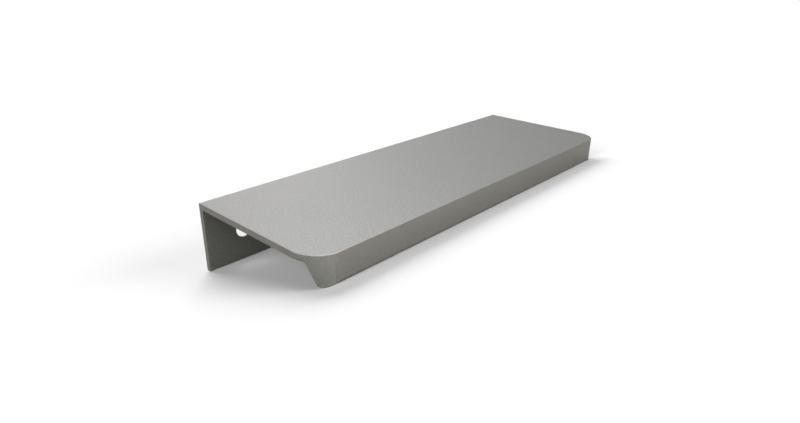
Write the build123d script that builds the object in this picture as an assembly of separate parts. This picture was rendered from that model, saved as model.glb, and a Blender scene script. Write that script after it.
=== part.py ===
from build123d import *

import math
import os

# An edge pull: one length of extruded aluminium that hooks over the top edge of a drawer front.
# The section is drawn and worked on square, with the top face level at Z = 0, the outer face of
# the rear leg at Y = 0 and the front of the lip at Y = -plate_depth. The finished pull is then
# laid down as it rests when nothing holds it. All sizes are in millimetres and degrees.

# The cut length and the drilled holes
length = 116.0
screw_spacing = 96.0
screw_drop = 9.05
screw_hole_radius = 2.15
screw_land = 0.4
countersink_angle = 90.0

# The top plate
plate_depth = 40.0
plate_thickness = 1.4
corner_radius = 6.5

# The rear leg that takes the screws
leg_height = 17.0
leg_thickness = 1.3
leg_root_radius = 0.3
leg_foot_radius = 0.25

# The front lip that the fingers pull, a wedge with a fully rounded bottom edge
lip_height = 7.0
lip_slope = 19.3
lip_bottom_radius = 0.95
lip_root_radius = 1.1

# The softened edges round the top face
edge_radius = 0.1

# How far the cutters run past the metal
overrun = 1.0


def lip_inner_y(z):
    """The place of the lip's sloping inner face at a height, found from its rounded bottom."""
    slope = math.radians(lip_slope)
    tangent_y = -plate_depth + lip_bottom_radius * (1 + math.cos(slope))
    tangent_z = -lip_height + lip_bottom_radius * (1 - math.sin(slope))
    return tangent_y + (z - tangent_z) * math.tan(slope)


def profile_section():
    """The section of the extrusion, in the YZ plane."""
    lip_root = (lip_inner_y(-plate_thickness), -plate_thickness)
    leg_root = (-leg_thickness, -plate_thickness)
    foot_inner = (-leg_thickness, -leg_height)
    foot_outer = (0, -leg_height)
    front_top = (-plate_depth, 0)
    lip_bottom_centre = (-plate_depth + lip_bottom_radius, -lip_height + lip_bottom_radius)
    with BuildSketch(Plane.YZ) as section:
        with BuildLine():
            bottom = CenterArc(lip_bottom_centre, lip_bottom_radius, 180, 180 - lip_slope)
            Line(bottom @ 1, lip_root)
            Polyline(lip_root, leg_root, foot_inner, foot_outer, (0, 0), front_top, bottom @ 0)
        make_face()
        rounded_corners = (
            (lip_root, lip_root_radius),
            (leg_root, leg_root_radius),
            (foot_inner, leg_foot_radius),
            (foot_outer, leg_foot_radius),
        )
        for corner, radius in rounded_corners:
            fillet(section.vertices().sort_by_distance(corner)[0], radius)
    return section.sketch


def corner_offcuts():
    """The two front corners that the mill takes off, upright through the plate and the lip."""
    cutter_y = -plate_depth + corner_radius
    with BuildPart() as offcuts:
        with BuildSketch(Plane.XY.offset(overrun)):
            for side in (-1, 1):
                cutter_x = side * (length / 2 - corner_radius)
                with Locations((cutter_x, cutter_y)):
                    block = corner_radius + overrun
                    align_x = Align.MIN if side > 0 else Align.MAX
                    Rectangle(block, block, align=(align_x, Align.MAX))
                    Circle(corner_radius, mode=Mode.SUBTRACT)
        extrude(amount=-(lip_height + 2 * overrun))
    return offcuts.part


def screw_holes():
    """The cutters of the screw holes, sunk from the leg's outer face so that the heads sit flush."""
    outer_face = Plane(origin=(0, 0, -screw_drop), x_dir=(1, 0, 0), z_dir=(0, 1, 0))
    sink_depth = leg_thickness - screw_land
    mouth_radius = screw_hole_radius + sink_depth * math.tan(math.radians(countersink_angle / 2))
    depth = leg_thickness + overrun
    cutter = CounterSinkHole(screw_hole_radius, mouth_radius, depth, countersink_angle)
    return outer_face * GridLocations(screw_spacing, 0, 2, 1) * cutter


def handle_profile():
    """The pull as it leaves the workshop: extruded, cut, milled, drilled and deburred."""
    bar = extrude(profile_section(), length / 2, both=True)
    milled = bar - corner_offcuts()
    top_edges = milled.faces().sort_by(Axis.Z)[-1].edges()
    deburred = fillet(top_edges, edge_radius)
    return deburred - screw_holes()


def rest_tilt():
    """How far the unheld pull leans forward, on the inner edge of the leg's foot and on the lip."""
    reach_y = (-leg_thickness + leg_foot_radius) - (-plate_depth + lip_bottom_radius)
    reach_z = (-leg_height + leg_foot_radius) - (-lip_height + lip_bottom_radius)
    radius_step = leg_foot_radius - lip_bottom_radius
    across = math.hypot(reach_y, reach_z)
    return math.degrees(math.asin(radius_step / across) - math.atan2(reach_z, reach_y))


def laid_down(pull):
    """The pull at rest on a level floor at Z = 0, with its box centred on the origin."""
    leaning = Rot(rest_tilt(), 0, 0) * pull
    box = leaning.bounding_box()
    return Pos(0, -box.center().Y, -box.min.Z) * leaning


def main():
    os.makedirs("parts", exist_ok=True)
    handle = laid_down(handle_profile())
    print("rest tilt", round(rest_tilt(), 3), "volume", round(handle.volume, 1))
    export_step(handle, "parts/handle_profile.step")


main()
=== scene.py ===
import functools
import logging
import math
from dataclasses import dataclass, field
from enum import Enum

import bmesh
import bpy
from mathutils import Matrix, Vector


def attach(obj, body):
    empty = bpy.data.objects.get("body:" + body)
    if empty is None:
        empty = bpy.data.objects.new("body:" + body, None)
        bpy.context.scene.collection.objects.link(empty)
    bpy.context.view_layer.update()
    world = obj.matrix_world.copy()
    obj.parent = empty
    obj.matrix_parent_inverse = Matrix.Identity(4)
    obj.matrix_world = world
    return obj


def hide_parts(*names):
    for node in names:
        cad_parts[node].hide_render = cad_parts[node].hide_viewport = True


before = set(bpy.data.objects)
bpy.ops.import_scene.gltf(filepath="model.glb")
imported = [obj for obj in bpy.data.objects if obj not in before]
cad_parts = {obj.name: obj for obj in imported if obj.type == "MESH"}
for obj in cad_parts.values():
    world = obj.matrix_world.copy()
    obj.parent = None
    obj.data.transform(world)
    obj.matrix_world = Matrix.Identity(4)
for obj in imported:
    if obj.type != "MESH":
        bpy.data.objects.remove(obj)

# An edge pull of satin anodised aluminium, lying on a pale floor in soft light

LOG = logging.getLogger("edge_pull")
MM = 0.001
NODE = "handle_profile"
ARRIS = "arris"

# A colour, as linear red, green, blue and alpha
Colour = tuple[float, float, float, float]


class Working(Enum):
    """How a surface of the pull was made."""

    EXTRUDED = "extruded"
    SAWN = "sawn"
    MILLED = "milled"
    DRILLED = "drilled"


class Number:
    """A number socket of a node tree, so that sizes and patterns combine in plain arithmetic."""

    def __init__(self, tree: bpy.types.NodeTree, socket: bpy.types.NodeSocket) -> None:
        """Wraps a socket.

        Args:
            tree: The node tree that the socket is in.
            socket: An output socket that gives a number.
        """
        self.tree = tree
        self.socket = socket

    def math(self, operation: str, *others: "Number | float") -> "Number":
        """Adds one Math node whose first operand is this number.

        Args:
            operation: The Math node's operation, such as "ADD".
            *others: The other operands, as many as the operation has.

        Returns:
            The node's result.
        """
        node = self.tree.nodes.new("ShaderNodeMath")
        node.operation = operation
        for place, operand in enumerate((self, *others)):
            if isinstance(operand, Number):
                self.tree.links.new(operand.socket, node.inputs[place])
            else:
                node.inputs[place].default_value = operand
        return Number(self.tree, node.outputs[0])

    def __add__(self, other: "Number | float") -> "Number":
        """This number plus another."""
        return self.math("ADD", other)

    def __sub__(self, other: "Number | float") -> "Number":
        """This number less another."""
        return self.math("SUBTRACT", other)

    def __rsub__(self, other: float) -> "Number":
        """A plain number less this one."""
        return -self + other

    def __mul__(self, other: "Number | float") -> "Number":
        """This number times another."""
        return self.math("MULTIPLY", other)

    def __truediv__(self, other: "Number | float") -> "Number":
        """This number divided by another."""
        return self.math("DIVIDE", other)

    def __rtruediv__(self, other: float) -> "Number":
        """A plain number divided by this one."""
        return self.math("POWER", -1.0) * other

    def __neg__(self) -> "Number":
        """This number with its sign turned."""
        return self.math("MULTIPLY", -1.0)

    def __abs__(self) -> "Number":
        """This number without its sign."""
        return self.math("ABSOLUTE")

    def both_ways(self) -> "Number":
        """This number from 0 to 1, spread out to run from -1 to 1."""
        return (self - 0.5) * 2.0

    def within_one(self) -> "Number":
        """This number kept between 0 and 1."""
        return self.math("MAXIMUM", 0.0).math("MINIMUM", 1.0)


# What an input socket can be fed with
Feed = Number | bpy.types.NodeSocket | bpy.types.ID | Vector | list | tuple | float | bool


class Tree:
    """A node tree under construction, of any kind."""

    def __init__(self, tree: bpy.types.NodeTree) -> None:
        """Takes the tree that the nodes go into."""
        self.tree = tree

    def node(self, kind: str, inputs: dict | None = None, **settings: object) -> bpy.types.Node:
        """Adds a node and feeds it.

        Args:
            kind: The node's type.
            inputs: What each named or numbered input is fed with.
            **settings: Properties of the node itself.

        Returns:
            The new node.
        """
        added = self.tree.nodes.new(kind)
        for name, value in settings.items():
            setattr(added, name, value)
        for name, value in (inputs or {}).items():
            self.feed(added.inputs[name], value)
        return added

    def feed(self, socket: bpy.types.NodeSocket, value: Feed) -> None:
        """Links or sets one input.

        Args:
            socket: The input to feed.
            value: A number or socket to link, a list of sockets for a joining input, or a value.
        """
        if isinstance(value, Number):
            self.tree.links.new(value.socket, socket)
        elif isinstance(value, bpy.types.NodeSocket):
            self.tree.links.new(value, socket)
        elif isinstance(value, list):
            for one in value:
                self.tree.links.new(one, socket)
        else:
            socket.default_value = value

    def number(self, node: bpy.types.Node, name: str | int = 0) -> Number:
        """One output of a node, as a number."""
        return Number(self.tree, node.outputs[name])

    def parts(self, vector: bpy.types.NodeSocket) -> tuple[Number, Number, Number]:
        """A vector's x, y and z."""
        split = self.node("ShaderNodeSeparateXYZ", {"Vector": vector})
        return self.number(split, "X"), self.number(split, "Y"), self.number(split, "Z")

    def vector(self, x: Feed = 0.0, y: Feed = 0.0, z: Feed = 0.0) -> bpy.types.NodeSocket:
        """A vector from its x, y and z."""
        return self.node("ShaderNodeCombineXYZ", {"X": x, "Y": y, "Z": z}).outputs[0]


@dataclass(frozen=True)
class PullSizes:
    """The pull's real sizes in metres and degrees, as it is drawn square before it leans.

    Square means the top face level at Z = 0, the leg's outer face at Y = 0 and the front of the
    lip at Y = -plate_depth, with X along the extrusion from its middle.
    """

    length: float = 116.0 * MM
    plate_depth: float = 40.0 * MM
    plate_thickness: float = 1.4 * MM
    corner_radius: float = 6.5 * MM
    leg_height: float = 17.0 * MM
    leg_thickness: float = 1.3 * MM
    leg_root_radius: float = 0.3 * MM
    leg_foot_radius: float = 0.25 * MM
    lip_height: float = 7.0 * MM
    lip_slope: float = 19.3
    lip_bottom_radius: float = 0.95 * MM
    lip_root_radius: float = 1.1 * MM
    screw_spacing: float = 96.0 * MM
    screw_drop: float = 9.05 * MM
    screw_hole_radius: float = 2.15 * MM
    screw_land: float = 0.4 * MM
    edge_radius: float = 0.1 * MM

    def rest_tilt(self) -> float:
        """How far the unheld pull leans forward, on its foot and its lip.

        Returns:
            The angle in radians.
        """
        reach_y = self.plate_depth - self.lip_bottom_radius - self.leg_thickness + self.leg_foot_radius
        reach_z = self.lip_height - self.lip_bottom_radius - self.leg_height + self.leg_foot_radius
        step = self.leg_foot_radius - self.lip_bottom_radius
        return math.asin(step / math.hypot(reach_y, reach_z)) - math.atan2(reach_z, reach_y)

    def laid_down(self) -> Matrix:
        """The turn and shift that carry the square pull to its place at rest.

        Returns:
            The matrix from the square drawing to the shared frame.
        """
        turn = Matrix.Rotation(self.rest_tilt(), 4, "X")
        bottom, foot = self.lip_bottom_radius, self.leg_foot_radius
        low = turn @ Vector((0, bottom - self.plate_depth, bottom - self.lip_height))
        front = turn @ Vector((0, self.edge_radius - self.plate_depth, -self.edge_radius))
        rear = turn @ Vector((0, -foot, foot - self.leg_height))
        low_y = min(low.y - bottom, front.y - self.edge_radius)
        high_y = rear.y + foot
        return Matrix.Translation((0, -(low_y + high_y) / 2, bottom - low.z)) @ turn


class ProfileTree(Tree):
    """The Geometry Nodes tree that extrudes, cuts, mills and drills the pull from its sizes."""

    ARC_POINTS = 24
    MILL_POINTS = 48
    DRILL_SIDES = 96
    OVERRUN = 1.0 * MM
    WELD = 0.002 * MM
    SQUARE_ON = 0.999

    def __init__(self, sizes: PullSizes) -> None:
        """Starts the tree with a named input for each size and for each way of working.

        Args:
            sizes: The pull's sizes, which give the inputs their names.
        """
        super().__init__(bpy.data.node_groups.new("edge_pull_profile", "GeometryNodeTree"))
        sockets = self.tree.interface
        sockets.new_socket("Geometry", in_out="OUTPUT", socket_type="NodeSocketGeometry")
        for name in vars(sizes):
            sockets.new_socket(name, in_out="INPUT", socket_type="NodeSocketFloat")
        for working in Working:
            sockets.new_socket(working.value, in_out="INPUT", socket_type="NodeSocketMaterial")
        self.entry = self.tree.nodes.new("NodeGroupInput")

    def size(self, name: str) -> Number:
        """The size that an input of the tree gives."""
        return self.number(self.entry, name)

    def rounded_face(
        self, corners: list[tuple[Feed, Feed, Feed]], arc_points: int
    ) -> bpy.types.NodeSocket:
        """A flat face in the XY plane with rounded corners.

        Args:
            corners: Each corner's x, y and rounding radius, in order round the face.
            arc_points: How many points each rounding gets.

        Returns:
            The face's geometry.
        """
        index = self.node("GeometryNodeInputIndex").outputs[0]
        places = self.node("GeometryNodeIndexSwitch", data_type="VECTOR")
        radii = self.node("GeometryNodeIndexSwitch", data_type="FLOAT")
        for switch in (places, radii):
            while len(switch.index_switch_items) < len(corners):
                switch.index_switch_items.new()
            self.feed(switch.inputs["Index"], index)
        for number, (x, y, radius) in enumerate(corners):
            self.feed(places.inputs[str(number)], self.vector(x, y))
            self.feed(radii.inputs[str(number)], radius)
        points = self.node("GeometryNodePoints", {"Count": len(corners), "Position": places.outputs[0]})
        open_line = self.node("GeometryNodePointsToCurves", {"Points": points.outputs[0]})
        closing = {"Geometry": open_line.outputs[0], "Cyclic": True}
        outline = self.node("GeometryNodeSetSplineCyclic", closing)
        rounding = {"Curve": outline.outputs[0], "Radius": radii.outputs[0], "Count": arc_points}
        rounded = self.node("GeometryNodeFilletCurve", rounding, mode="POLY")
        return self.node("GeometryNodeFillCurve", {"Curve": rounded.outputs[0]}, mode="NGONS").outputs[0]

    def solid(self, face: bpy.types.NodeSocket, height: Number) -> bpy.types.NodeSocket:
        """A closed prism raised from a flat face along Z.

        Args:
            face: The flat face.
            height: How far it is raised.

        Returns:
            The prism's geometry, with its faces outwards.
        """
        step = {"Mesh": face, "Offset": self.vector(z=height), "Offset Scale": 1.0, "Individual": False}
        raised = self.node("GeometryNodeExtrudeMesh", step, mode="FACES").outputs["Mesh"]
        base = self.node("GeometryNodeFlipFaces", {"Mesh": face}).outputs[0]
        joined = self.node("GeometryNodeJoinGeometry", {"Geometry": [raised, base]}).outputs[0]
        weld = {"Geometry": joined, "Distance": self.WELD}
        return self.node("GeometryNodeMergeByDistance", weld).outputs[0]

    def moved(
        self,
        geometry: bpy.types.NodeSocket,
        shift: Feed = (0.0, 0.0, 0.0),
        turn: Feed = (0.0, 0.0, 0.0),
        scale: Feed = (1.0, 1.0, 1.0),
    ) -> bpy.types.NodeSocket:
        """Geometry that is scaled, turned and then shifted.

        Args:
            geometry: What is moved.
            shift: The step along each axis.
            turn: The turn about each axis, in radians.
            scale: The scale along each axis.

        Returns:
            The moved geometry.
        """
        move = {"Geometry": geometry, "Translation": shift, "Rotation": turn, "Scale": scale}
        return self.node("GeometryNodeTransform", move).outputs[0]

    def worked(
        self, geometry: bpy.types.NodeSocket, working: Working, chosen: Feed = True
    ) -> bpy.types.NodeSocket:
        """Geometry whose chosen faces take the finish of one way of working."""
        dress = {"Geometry": geometry, "Selection": chosen, "Material": self.entry.outputs[working.value]}
        return self.node("GeometryNodeSetMaterial", dress).outputs[0]

    def cut(self, body: bpy.types.NodeSocket, tools: list[bpy.types.NodeSocket]) -> bpy.types.NodeSocket:
        """A body less its cutters.

        Args:
            body: The geometry that is cut.
            tools: The geometry of each cutter.

        Returns:
            What is left of the body.
        """
        pair = {"Mesh 1": body, "Mesh 2": tools}
        settings = {"operation": "DIFFERENCE", "solver": "EXACT"}
        return self.node("GeometryNodeMeshBoolean", pair, **settings).outputs["Mesh"]

    def bar(self) -> bpy.types.NodeSocket:
        """The length of extrusion, square and centred along X.

        Returns:
            The bar's geometry.
        """
        depth, thick = self.size("plate_depth"), self.size("plate_thickness")
        leg, foot = self.size("leg_thickness"), self.size("leg_foot_radius")
        height, lip = self.size("leg_height"), self.size("lip_height")
        bottom, slope = self.size("lip_bottom_radius"), self.size("lip_slope").math("RADIANS")
        tip = bottom + bottom / ((slope + math.pi / 2) / 2).math("TANGENT")
        root = tip + (lip - thick) * slope.math("TANGENT")
        section = self.rounded_face(
            [
                (0.0, 0.0, 0.0),
                (-depth, 0.0, 0.0),
                (-depth, -lip, bottom),
                (tip - depth, -lip, bottom),
                (root - depth, -thick, self.size("lip_root_radius")),
                (-leg, -thick, self.size("leg_root_radius")),
                (-leg, -height, foot),
                (0.0, -height, foot),
            ],
            self.ARC_POINTS,
        )
        length = self.size("length")
        standing = self.moved(self.solid(section, length), self.vector(z=-length / 2))
        lying = self.moved(standing, turn=(math.pi / 2, 0.0, math.pi / 2))
        return self.worked(lying, Working.EXTRUDED)

    def corner_cutters(self) -> list[bpy.types.NodeSocket]:
        """What the mill takes off the two front corners, upright through plate and lip.

        Returns:
            The geometry of the right cutter and of the left one.
        """
        end, front = self.size("length") / 2, -self.size("plate_depth")
        radius, lip = self.size("corner_radius"), self.size("lip_height")
        plan = self.rounded_face(
            [
                (end - radius, front - self.OVERRUN, 0.0),
                (end + self.OVERRUN, front - self.OVERRUN, 0.0),
                (end + self.OVERRUN, front + radius, 0.0),
                (end, front + radius, 0.0),
                (end, front, radius),
                (end - radius, front, 0.0),
            ],
            self.MILL_POINTS,
        )
        block = self.solid(plan, lip + 2 * self.OVERRUN)
        right = self.worked(self.moved(block, self.vector(z=-lip - self.OVERRUN)), Working.MILLED)
        mirrored = self.moved(right, scale=(-1.0, 1.0, 1.0))
        return [right, self.node("GeometryNodeFlipFaces", {"Mesh": mirrored}).outputs[0]]

    def at_screws(self, tool: bpy.types.NodeSocket) -> bpy.types.NodeSocket:
        """A cutting tool set at both screw holes, with its shank out of the leg.

        Args:
            tool: The tool's geometry, upright, with the leg's outer face at Z = 0.

        Returns:
            The two tools' geometry, with the instances realized.
        """
        outwards = self.moved(tool, turn=(-math.pi / 2, 0.0, 0.0))
        spacing = self.size("screw_spacing")
        row = {
            "Count": 2,
            "Start Location": self.vector(x=-spacing / 2, z=-self.size("screw_drop")),
            "Offset": self.vector(x=spacing),
        }
        places = self.node("GeometryNodeMeshLine", row, mode="OFFSET").outputs[0]
        copies = self.node("GeometryNodeInstanceOnPoints", {"Points": places, "Instance": outwards})
        real = self.node("GeometryNodeRealizeInstances", {"Geometry": copies.outputs[0]}).outputs[0]
        return self.worked(real, Working.DRILLED)

    def screw_cutters(self) -> list[bpy.types.NodeSocket]:
        """What makes the screw holes: a drill, and a countersink for the screws' heads.

        Returns:
            The geometry of the two drills and of the two countersinks.
        """
        leg, radius = self.size("leg_thickness"), self.size("screw_hole_radius")
        sink = leg - self.size("screw_land")
        bore = {"Vertices": self.DRILL_SIDES, "Radius": radius, "Depth": leg + 2 * self.OVERRUN}
        drill = self.node("GeometryNodeMeshCylinder", bore).outputs["Mesh"]
        mouth = {
            "Vertices": self.DRILL_SIDES,
            "Radius Bottom": radius,
            "Radius Top": radius + sink + self.OVERRUN,
            "Depth": sink + self.OVERRUN,
        }
        cone = self.node("GeometryNodeMeshCone", mouth).outputs["Mesh"]
        tools = (self.moved(drill, self.vector(z=-leg / 2)), self.moved(cone, self.vector(z=-sink)))
        return [self.at_screws(tool) for tool in tools]

    def on_end(self) -> Number:
        """Which faces are the sawn ends.

        Returns:
            A selection, 1 on the ends and 0 elsewhere.
        """
        along, _, _ = self.parts(self.node("GeometryNodeInputNormal").outputs[0])
        x, _, _ = self.parts(self.node("GeometryNodeInputPosition").outputs[0])
        square_on = abs(along).math("GREATER_THAN", self.SQUARE_ON)
        return square_on * (abs(x) + self.WELD).math("GREATER_THAN", self.size("length") / 2)

    def build(self) -> bpy.types.NodeTree:
        """Cuts the bar with its cutters and ends the tree.

        Returns:
            The finished node tree.
        """
        milled = self.cut(self.bar(), self.corner_cutters())
        drilled = milled
        for cutter in self.screw_cutters():
            drilled = self.cut(drilled, [cutter])
        real = self.node("GeometryNodeRealizeInstances", {"Geometry": drilled}).outputs[0]
        finished = self.worked(real, Working.SAWN, self.on_end())
        self.node("NodeGroupOutput", {"Geometry": finished})
        return self.tree


@dataclass
class EdgePull:
    """The whole pull: one piece of aluminium, made by the profile tree and deburred.

    The lesser edges, all but those round the top face, get a share of the edge radius. The angles
    are in degrees.
    """

    sizes: PullSizes = field(default_factory=PullSizes)
    edge_segments: int = 4
    lesser_edge: float = 0.5
    flat_angle: float = 0.05
    sharp_angle: float = 30.0
    seam_angle: float = 2.0

    def build(self, finishes: dict[Working, bpy.types.Material]) -> bpy.types.Object:
        """Makes the pull and puts it at its place in the shared frame.

        Args:
            finishes: The material for each way of working.

        Returns:
            The finished object, riding on the root body.
        """
        pull = self.from_nodes(finishes)
        self.tidy(pull.data)
        self.deburr(pull)
        self.dress(pull.data, finishes)
        pull.data.transform(self.sizes.laid_down())
        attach(pull, "root")
        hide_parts(NODE)
        LOG.info("%s: %d faces, stands for %s", pull.name, len(pull.data.polygons), NODE)
        return pull

    def from_nodes(self, finishes: dict[Working, bpy.types.Material]) -> bpy.types.Object:
        """Runs the profile tree and keeps its result as a plain mesh.

        Args:
            finishes: The material for each way of working.

        Returns:
            An object with the square, sharp-edged pull.
        """
        pull = bpy.data.objects.new("edge_pull", bpy.data.meshes.new("edge_pull"))
        bpy.context.scene.collection.objects.link(pull)
        tree = ProfileTree(self.sizes).build()
        sockets = {item.name: item.identifier for item in tree.interface.items_tree}
        modifier = pull.modifiers.new("profile", "NODES")
        modifier.node_group = tree
        for name, value in vars(self.sizes).items():
            modifier[sockets[name]] = value
        for working, material in finishes.items():
            modifier[sockets[working.value]] = material
        self.bake(pull)
        return pull

    @staticmethod
    def bake(pull: bpy.types.Object) -> None:
        """Works the object's modifiers into its mesh and removes them.

        Args:
            pull: The pull's object, whose mesh is replaced.
        """
        graph = bpy.context.evaluated_depsgraph_get()
        mesh = bpy.data.meshes.new_from_object(pull.evaluated_get(graph), depsgraph=graph)
        pull.modifiers.clear()
        pull.data = mesh

    def tidy(self, mesh: bpy.types.Mesh) -> None:
        """Welds the cut seams, joins what lies in one plane and marks the edges to round.

        Shallow seams between two ways of working aren't rounded, but they aren't shaded over.

        Args:
            mesh: The pull's square mesh, changed in place.
        """
        flat, sharp = math.radians(self.flat_angle), math.radians(self.sharp_angle)
        seam = math.radians(self.seam_angle)
        work = bmesh.new()
        work.from_mesh(mesh)
        bmesh.ops.remove_doubles(work, verts=work.verts, dist=ProfileTree.WELD)
        bmesh.ops.dissolve_limit(
            work, angle_limit=flat, verts=work.verts, edges=work.edges, delimit={"MATERIAL"}
        )
        bmesh.ops.recalc_face_normals(work, faces=work.faces)
        weight = work.edges.layers.float.new("bevel_weight_edge")
        for face in work.faces:
            face.smooth = True
        for edge in work.edges:
            turn = edge.calc_face_angle(0.0)
            if turn > sharp:
                on_top = all(vert.co.z > -ProfileTree.WELD for vert in edge.verts)
                edge[weight] = 1.0 if on_top else self.lesser_edge
            elif turn > seam and len({face.material_index for face in edge.link_faces}) > 1:
                edge.smooth = False
        work.to_mesh(mesh)
        work.free()

    def deburr(self, pull: bpy.types.Object) -> None:
        """Rounds the marked edges, and notes on the mesh where they are.

        Args:
            pull: The pull's object, whose mesh is replaced.
        """
        mark = len(pull.data.materials)
        pull.data.materials.append(None)
        bevel = pull.modifiers.new("deburr", "BEVEL")
        bevel.limit_method = "WEIGHT"
        bevel.width = self.sizes.edge_radius
        bevel.segments = self.edge_segments
        bevel.use_clamp_overlap = False
        bevel.miter_outer = "MITER_ARC"
        bevel.material = mark
        seams = pull.modifiers.new("seams", "WELD")
        seams.merge_threshold = ProfileTree.WELD
        flats = pull.modifiers.new("flats", "WEIGHTED_NORMAL")
        flats.mode = "FACE_AREA"
        flats.keep_sharp = True
        self.bake(pull)
        mesh = pull.data
        mesh.attributes.remove(mesh.attributes["bevel_weight_edge"])
        faces_at = [[] for _ in mesh.vertices]
        for face in mesh.polygons:
            for vertex in face.vertices:
                faces_at[vertex].append(face.material_index == mark)
        arris = mesh.attributes.new(ARRIS, "FLOAT", "POINT")
        arris.data.foreach_set("value", [float(all(rounded)) for rounded in faces_at])

    @staticmethod
    def dress(mesh: bpy.types.Mesh, finishes: dict[Working, bpy.types.Material]) -> None:
        """Gives the mesh one slot for each finish, and its rounded edges the first finish.

        Args:
            mesh: The pull's mesh.
            finishes: The material for each way of working.
        """
        order = list(finishes.values())
        slots = [order.index(slot) if slot in order else 0 for slot in mesh.materials]
        chosen = [slots[face.material_index] for face in mesh.polygons]
        mesh.materials.clear()
        for material in order:
            mesh.materials.append(material)
        mesh.polygons.foreach_set("material_index", chosen)


class ShaderGroup(Tree):
    """A shader node group with named inputs and one named output, shared by many materials."""

    def __init__(
        self, name: str, vectors: tuple[str, ...], numbers: dict[str, float], gives: str
    ) -> None:
        """Starts the group.

        Args:
            name: The group's name.
            vectors: The names of its vector inputs.
            numbers: The names and plain values of its number inputs.
            gives: The name of its output, a number.
        """
        super().__init__(bpy.data.node_groups.new(name, "ShaderNodeTree"))
        sockets = self.tree.interface
        for vector in vectors:
            sockets.new_socket(vector, in_out="INPUT", socket_type="NodeSocketVector")
        for number, value in numbers.items():
            socket = sockets.new_socket(number, in_out="INPUT", socket_type="NodeSocketFloat")
            socket.default_value = value
        sockets.new_socket(gives, in_out="OUTPUT", socket_type="NodeSocketFloat")
        self.entry = self.tree.nodes.new("NodeGroupInput")
        self.exit = self.tree.nodes.new("NodeGroupOutput")

    def takes(self, name: str) -> Number:
        """A number that the group is given."""
        return self.number(self.entry, name)

    def placed(self, tree: Tree, **inputs: Feed) -> Number:
        """Puts the group into a material.

        Args:
            tree: The material's tree.
            **inputs: What the group's inputs are fed with there.

        Returns:
            The group's output.
        """
        node = tree.tree.nodes.new("ShaderNodeGroup")
        node.node_tree = self.tree
        for name, value in inputs.items():
            tree.feed(node.inputs[name], value)
        return tree.number(node)


class Grain(ShaderGroup):
    """A cloudy speckle from -1 to 1, fine or coarse by its size."""

    ROUGHNESS = 0.6

    def __init__(self) -> None:
        """Builds the group."""
        super().__init__("grain", ("place",), {"size": 0.3 * MM, "detail": 1.0}, "grain")
        texture = {
            "Vector": self.entry.outputs["place"],
            "Scale": 1.0 / self.takes("size"),
            "Detail": self.takes("detail"),
            "Roughness": self.ROUGHNESS,
        }
        noise = self.number(self.node("ShaderNodeTexNoise", texture))
        self.feed(self.exit.inputs["grain"], noise.both_ways())


class ToolMarks(ShaderGroup):
    """Fine uneven lines from -1 to 1, which depend only on how far across them a point lies."""

    DETAIL = 3.0

    def __init__(self) -> None:
        """Builds the group."""
        super().__init__("tool_marks", (), {"across": 0.0, "spacing": 0.3 * MM}, "marks")
        steps = self.takes("across") / self.takes("spacing")
        texture = {"W": steps, "Scale": 1.0, "Detail": self.DETAIL}
        noise = self.number(self.node("ShaderNodeTexNoise", texture, noise_dimensions="1D"))
        self.feed(self.exit.inputs["marks"], noise.both_ways())


class WornEdge(ShaderGroup):
    """How far handling has rubbed the rounded edges, from 0 to 1, in uneven patches.

    The patches come from a noise, steepened and lowered so that they stand apart.
    """

    DETAIL = 4.0
    STEEPNESS = 3.0
    LOWERING = 1.0

    def __init__(self) -> None:
        """Builds the group."""
        numbers = {"arris": 0.0, "patch": 4.0 * MM, "least": 0.35}
        super().__init__("worn_edge", ("place",), numbers, "wear")
        texture = {
            "Vector": self.entry.outputs["place"],
            "Scale": 1.0 / self.takes("patch"),
            "Detail": self.DETAIL,
        }
        patches = self.number(self.node("ShaderNodeTexNoise", texture))
        rubbed = (patches * self.STEEPNESS - self.LOWERING).within_one()
        least = self.takes("least")
        self.feed(self.exit.inputs["wear"], (rubbed * (1.0 - least) + least) * self.takes("arris"))


class Speck(ShaderGroup):
    """One speck of dust caught in the finish, from 0 outside to 1 at its middle."""

    STEEPNESS = 2.0

    def __init__(self) -> None:
        """Builds the group."""
        super().__init__("speck", ("place", "middle"), {"radius": 0.3 * MM}, "speck")
        pair = {0: self.entry.outputs["place"], 1: self.entry.outputs["middle"]}
        reach = self.number(self.node("ShaderNodeVectorMath", pair, operation="DISTANCE"), "Value")
        inside = 1.0 - reach / self.takes("radius")
        self.feed(self.exit.inputs["speck"], (inside * self.STEEPNESS).within_one())


@dataclass
class Effects:
    """The shader groups that the finishes share."""

    grain: Grain = field(default_factory=Grain)
    marks: ToolMarks = field(default_factory=ToolMarks)
    wear: WornEdge = field(default_factory=WornEdge)
    speck: Speck = field(default_factory=Speck)


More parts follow.
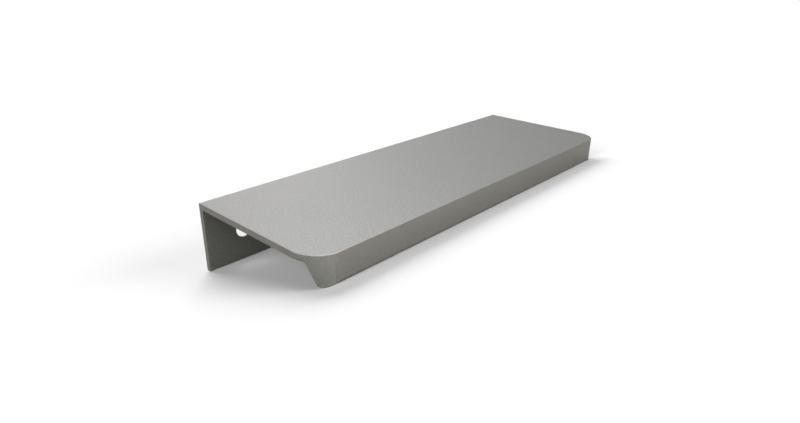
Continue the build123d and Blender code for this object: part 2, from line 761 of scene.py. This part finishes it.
@dataclass(frozen=True)
class SatinAluminium:
    """Matt silver anodised aluminium, with the marks of the tool that made the surface under it."""

    sizes: PullSizes
    working: Working
    colour: Colour = (0.456, 0.452, 0.447, 1.0)
    rubbed: Colour = (0.464, 0.46, 0.455, 1.0)
    roughness: float = 0.5
    grain_size: float = 0.42 * MM
    grain_contrast: float = 0.22
    grain_height: float = 0.0015 * MM
    grain_roughness: float = 0.08
    cloud_size: float = 9.0 * MM
    cloud_detail: float = 3.0
    cloud_contrast: float = 0.03
    mark_spacing: float = 0.5 * MM
    mark_contrast: float = 0.03
    mark_height: float = 0.0008 * MM

    def across(self, tree: Tree, place: bpy.types.NodeSocket) -> Number:
        """How far across the tool's marks a point lies.

        Args:
            tree: The material's tree.
            place: The point in the square drawing.

        Returns:
            The distance in metres.
        """
        raise NotImplementedError

    def dust(self, tree: Tree, place: bpy.types.NodeSocket, effects: Effects) -> Number | None:
        """How much dust covers a point, or None where the finish is clean."""
        return None

    def boldness(self, tree: Tree, place: bpy.types.NodeSocket) -> Number | float:
        """How strongly the grain shows at a point, as a share of its full contrast."""
        return 1.0

    def material(self, effects: Effects) -> bpy.types.Material:
        """Builds the material.

        Args:
            effects: The shader groups that the finishes share.

        Returns:
            The finished material.
        """
        material = bpy.data.materials.new(f"aluminium_{self.working.value}")
        material.use_nodes = True
        tree = Tree(material.node_tree)
        shader = tree.tree.nodes["Principled BSDF"]
        shader.inputs["Metallic"].default_value = 1.0
        place = self.square_place(tree)
        grain = effects.grain.placed(tree, place=place, size=self.grain_size)
        clouds = effects.grain.placed(tree, place=place, size=self.cloud_size, detail=self.cloud_detail)
        marks = effects.marks.placed(tree, across=self.across(tree, place), spacing=self.mark_spacing)
        arris = tree.number(tree.node("ShaderNodeAttribute", attribute_name=ARRIS), "Fac")
        wear = effects.wear.placed(tree, place=place, arris=arris)
        shade = grain * self.boldness(tree, place) * self.grain_contrast + 1.0
        shade = shade + marks * self.mark_contrast + clouds * self.cloud_contrast
        dust = self.dust(tree, place, effects)
        if dust is not None:
            shade = shade * (1.0 - dust)
        tree.feed(shader.inputs["Base Color"], self.tinted(tree, shade, wear))
        tree.feed(shader.inputs["Roughness"], grain * self.grain_roughness + self.roughness)
        height = grain * self.grain_height + marks * self.mark_height
        bump = tree.node("ShaderNodeBump", {"Height": height, "Distance": 1.0, "Strength": 1.0})
        tree.feed(shader.inputs["Normal"], bump.outputs[0])
        return material

    def square_place(self, tree: Tree) -> bpy.types.NodeSocket:
        """The point in the square drawing, found back from the leaning pull's own coordinates.

        Args:
            tree: The material's tree.

        Returns:
            The point as a vector.
        """
        laid_down = self.sizes.laid_down()
        back = {
            "Vector": tree.node("ShaderNodeTexCoord").outputs["Object"],
            "Location": laid_down.to_translation(),
            "Rotation": laid_down.to_euler(),
        }
        return tree.node("ShaderNodeMapping", back, vector_type="TEXTURE").outputs[0]

    def tinted(self, tree: Tree, shade: Number, wear: Number) -> bpy.types.NodeSocket:
        """The metal's colour, brighter where it is rubbed, times the shade of the patterns.

        Args:
            tree: The material's tree.
            shade: The patterns together, near 1.
            wear: How far the metal is rubbed.

        Returns:
            The colour.
        """
        metal = tree.node("ShaderNodeMix", data_type="RGBA")
        feeds = zip(("Factor_Float", "A_Color", "B_Color"), (wear, self.colour, self.rubbed))
        sockets = {socket.identifier: socket for socket in metal.inputs}
        for identifier, value in feeds:
            tree.feed(sockets[identifier], value)
        result = {socket.identifier: socket for socket in metal.outputs}["Result_Color"]
        return tree.node("ShaderNodeVectorMath", {0: result, "Scale": shade}, operation="SCALE").outputs[0]


@dataclass(frozen=True)
class ExtrudedSkin(SatinAluminium):
    """The skin of the extrusion, with faint die lines along it and a little dust on top.

    Fingers smooth the front of the lip, so its grain shows less. The specks of dust are placed by
    x and y on the top face, in millimetres.
    """

    working: Working = Working.EXTRUDED
    grain_contrast: float = 0.32
    handled_grain: float = 0.44
    handled_blend: float = 0.3 * MM
    speck_places: tuple[tuple[float, float], ...] = ((-37.6, -33.6), (-2.8, -23.4), (-27.9, -21.4))
    speck_dark: float = 0.14
    upright_step: float = 1.7

    def across(self, tree: Tree, place: bpy.types.NodeSocket) -> Number:
        """How far round the section a point lies, roughly, with longer steps on upright faces."""
        _, y, z = tree.parts(place)
        return y + z * self.upright_step

    def boldness(self, tree: Tree, place: bpy.types.NodeSocket) -> Number:
        """How strongly the grain shows at a point.

        Args:
            tree: The material's tree.
            place: The point in the square drawing.

        Returns:
            The share of the grain's full contrast.
        """
        _, y, _ = tree.parts(place)
        handled = (1.0 - (y + self.sizes.plate_depth) / self.handled_blend).within_one()
        return 1.0 - handled * (1.0 - self.handled_grain)

    def dust(self, tree: Tree, place: bpy.types.NodeSocket, effects: Effects) -> Number:
        """How much the specks darken a point.

        Args:
            tree: The material's tree.
            place: The point in the square drawing.
            effects: The shader groups that the finishes share.

        Returns:
            The share of the light that the dust takes away.
        """
        middles = [(x * MM, y * MM, 0.0) for x, y in self.speck_places]
        specks = [effects.speck.placed(tree, place=place, middle=middle) for middle in middles]
        return functools.reduce(Number.__add__, specks) * self.speck_dark


@dataclass(frozen=True)
class SawnEnd(SatinAluminium):
    """The cut ends, with the saw's fine straight marks under the anodising."""

    working: Working = Working.SAWN
    mark_spacing: float = 0.16 * MM
    mark_contrast: float = 0.06
    mark_height: float = 0.0012 * MM
    lean: float = 0.35

    def across(self, tree: Tree, place: bpy.types.NodeSocket) -> Number:
        """How far across the saw's path a point lies."""
        _, y, z = tree.parts(place)
        return y + z * self.lean


@dataclass(frozen=True)
class MilledCorner(SatinAluminium):
    """The rounded corners, with the upright marks of the cutter's teeth."""

    working: Working = Working.MILLED
    grain_contrast: float = 0.14
    mark_spacing: float = 0.22 * MM
    mark_contrast: float = 0.015
    mark_height: float = 0.0004 * MM

    def across(self, tree: Tree, place: bpy.types.NodeSocket) -> Number:
        """How far round the corner a point lies.

        Args:
            tree: The material's tree.
            place: The point in the square drawing.

        Returns:
            The length of arc in metres.
        """
        x, y, _ = tree.parts(place)
        radius = self.sizes.corner_radius
        outwards = abs(x) - (self.sizes.length / 2 - radius)
        forwards = y + (self.sizes.plate_depth - radius)
        return forwards.math("ARCTAN2", outwards) * radius


@dataclass(frozen=True)
class DrilledHole(SatinAluminium):
    """The walls of the screw holes, with the drill's rings."""

    working: Working = Working.DRILLED
    mark_spacing: float = 0.12 * MM
    mark_contrast: float = 0.06
    mark_height: float = 0.0012 * MM

    def across(self, tree: Tree, place: bpy.types.NodeSocket) -> Number:
        """How deep in the hole a point lies."""
        _, y, _ = tree.parts(place)
        return y


FINISHES = (ExtrudedSkin, SawnEnd, MilledCorner, DrilledHole)


class Lit(Enum):
    """What a softbox lights: the metal and the floor are lit apart, as with flags in a studio."""

    METAL = "metal"
    FLOOR = "floor"


@dataclass(frozen=True)
class Softbox:
    """One large soft light, turned to the pull's middle.

    The azimuth and elevation are its direction in degrees, from +Y towards +X and from the floor
    up. The strength is its irradiance at the middle in watts per square metre, and the width how
    many degrees it spans, as seen from there. Without a distance it is so far away that it lights
    everything evenly.
    """

    name: str
    lit: Lit
    azimuth: float
    elevation: float
    strength: float
    distance: float | None = None
    width: float = 35.0
    colour: tuple[float, float, float] = (1.0, 1.0, 1.0)

    def towards(self) -> Vector:
        """The direction of the light from the pull's middle."""
        around, up = math.radians(self.azimuth), math.radians(self.elevation)
        return Vector((math.sin(around) * math.cos(up), math.cos(around) * math.cos(up), math.sin(up)))

    def light(self) -> bpy.types.Light:
        """Makes the light itself: a disc near by, or a sun.

        The metal's own lights don't bounce on from it, so they leave the floor even.

        Returns:
            The light's data.
        """
        if self.distance is None:
            light = bpy.data.lights.new(self.name, "SUN")
            light.angle = math.radians(self.width)
            light.energy = self.strength
        else:
            light = bpy.data.lights.new(self.name, "AREA")
            light.shape = "DISK"
            light.size = 2 * self.distance * math.tan(math.radians(self.width / 2))
            light.energy = self.strength * math.pi * self.distance**2
        light.color = self.colour
        if self.lit is Lit.METAL:
            light.cycles.max_bounces = 0
        return light

    def place(self, receivers: bpy.types.Collection) -> None:
        """Puts the light into the scene.

        Args:
            receivers: The objects that it lights.
        """
        lamp = bpy.data.objects.new(self.name, self.light())
        lamp.location = self.towards() * (self.distance or 1.0)
        lamp.rotation_euler = self.towards().to_track_quat("Z", "Y").to_euler()
        lamp.visible_camera = False
        bpy.context.scene.collection.objects.link(lamp)
        lamp.light_linking.receiver_collection = receivers


# The tints of the softboxes, as linear red, green and blue
COOL = (0.985, 1.0, 1.0)
WARMISH = (1.04, 1.0, 0.98)
WARM = (1.09, 1.0, 0.9)
GREENISH = (0.89, 1.0, 0.93)
SOFTBOXES = (
    Softbox("behind", Lit.METAL, 30.0, 10.0, 0.825, colour=WARMISH),
    Softbox("above_right", Lit.METAL, 60.0, 62.0, 0.846, colour=COOL),
    Softbox("front", Lit.METAL, 180.0, 10.0, 2.998, distance=0.25, colour=WARM),
    Softbox("front_left", Lit.METAL, 212.0, 10.0, 2.5, width=60.0, colour=GREENISH),
    Softbox("left", Lit.METAL, 300.0, 10.0, 0.421, colour=WARM),
    Softbox("floor_behind", Lit.FLOOR, 25.0, 42.0, 2.5, width=55.0),
    Softbox("floor_front", Lit.FLOOR, 160.0, 10.0, 3.0),
    Softbox("floor_left", Lit.FLOOR, 255.0, 15.0, 3.2, width=50.0),
)


@dataclass(frozen=True)
class Studio:
    """The pale floor, the soft lights and the camera.

    The camera's place and axes are those of the square drawing, from the top rear corner of the
    pull's left end. The floor has one brightness for the camera and one colour for the metal.
    """

    sizes: PullSizes
    focal_px: float = 573.66
    frame_px: tuple[int, int] = (800, 423)
    sensor: float = 36.0
    nearest: float = 5.0 * MM
    camera_place: tuple[float, float, float] = (-57.007 * MM, -112.604 * MM, 49.896 * MM)
    camera_right: tuple[float, float, float] = (0.676667, -0.736173, 0.013093)
    camera_down: tuple[float, float, float] = (-0.285178, -0.278438, -0.91714)
    camera_ahead: tuple[float, float, float] = (0.678819, 0.616865, -0.39835)
    floor_radius: float = 12.0
    floor_sides: int = 64
    floor_seen: float = 0.95
    floor_bounce: tuple[float, float, float] = (0.303, 0.3, 0.278)
    room_light: float = 0.12

    def camera(self) -> None:
        """Sets the camera where the photograph was taken from, relative to the leaning pull."""
        data = bpy.data.cameras.new("photo_view")
        data.sensor_width = self.sensor
        data.lens = self.focal_px * self.sensor / self.frame_px[0]
        data.clip_start = self.nearest
        camera = bpy.data.objects.new("photo_view", data)
        bpy.context.scene.collection.objects.link(camera)
        axes = (self.camera_right, -Vector(self.camera_down), -Vector(self.camera_ahead))
        turn = Matrix(axes).transposed().to_4x4()
        from_middle = Vector(self.camera_place) - Vector((self.sizes.length / 2, 0, 0))
        camera.matrix_world = self.sizes.laid_down() @ Matrix.Translation(from_middle) @ turn
        bpy.context.scene.camera = camera

    def floor(self) -> bpy.types.Object:
        """Lays a plain round floor, far wider than the view.

        Returns:
            The floor.
        """
        work = bmesh.new()
        bmesh.ops.create_circle(
            work, cap_ends=True, segments=self.floor_sides, radius=self.floor_radius
        )
        mesh = bpy.data.meshes.new("floor")
        work.to_mesh(mesh)
        work.free()
        mesh.materials.append(self.paper())
        floor = bpy.data.objects.new("floor", mesh)
        bpy.context.scene.collection.objects.link(floor)
        return floor

    def paper(self) -> bpy.types.Material:
        """The floor's finish: near white to the eye, and dimmer and warmer to what it lights.

        Returns:
            The floor's material.
        """
        material = bpy.data.materials.new("pale_floor")
        material.use_nodes = True
        tree = Tree(material.node_tree)
        shader = tree.tree.nodes["Principled BSDF"]
        shader.inputs["Roughness"].default_value = 1.0
        shader.inputs["Specular IOR Level"].default_value = 0.0
        seen = tree.number(tree.node("ShaderNodeLightPath"), "Is Camera Ray")
        colour = [seen * (self.floor_seen - bounce) + bounce for bounce in self.floor_bounce]
        tree.feed(shader.inputs["Base Color"], tree.vector(*colour))
        return material

    def room(self) -> None:
        """Sets the even light of the room, which looks as white as the floor."""
        world = bpy.data.worlds.new("room")
        world.use_nodes = True
        tree = Tree(world.node_tree)
        background = tree.tree.nodes["Background"]
        background.inputs["Color"].default_value = (1.0, 1.0, 1.0, 1.0)
        seen = tree.number(tree.node("ShaderNodeLightPath"), "Is Camera Ray")
        tree.feed(background.inputs["Strength"], seen * (1.0 - self.room_light) + self.room_light)
        bpy.context.scene.world = world

    def build(self, pull: bpy.types.Object) -> None:
        """Builds the whole studio round the pull.

        Args:
            pull: The pull's object.
        """
        self.camera()
        self.room()
        receivers = {}
        for lit, thing in ((Lit.METAL, pull), (Lit.FLOOR, self.floor())):
            receivers[lit] = bpy.data.collections.new(f"lit_{lit.value}")
            receivers[lit].objects.link(thing)
        for softbox in SOFTBOXES:
            softbox.place(receivers[softbox.lit])
        bpy.context.scene.view_settings.view_transform = "Standard"


def corners(box: tuple[Vector, Vector]) -> list[list[float]]:
    """A box's two corners as plain lists."""
    return [list(corner) for corner in box]


def main() -> None:
    """Builds the pull and the studio."""
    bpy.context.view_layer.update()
    pull = EdgePull()
    effects = Effects()
    finishes = {}
    for kind in FINISHES:
        finish = kind(pull.sizes)
        finishes[finish.working] = finish.material(effects)
        LOG.info("finish made: %s", finishes[finish.working].name)
    Studio(pull.sizes).build(pull.build(finishes))


if __name__ == "__main__":
    logging.basicConfig(level=logging.INFO)
    main()
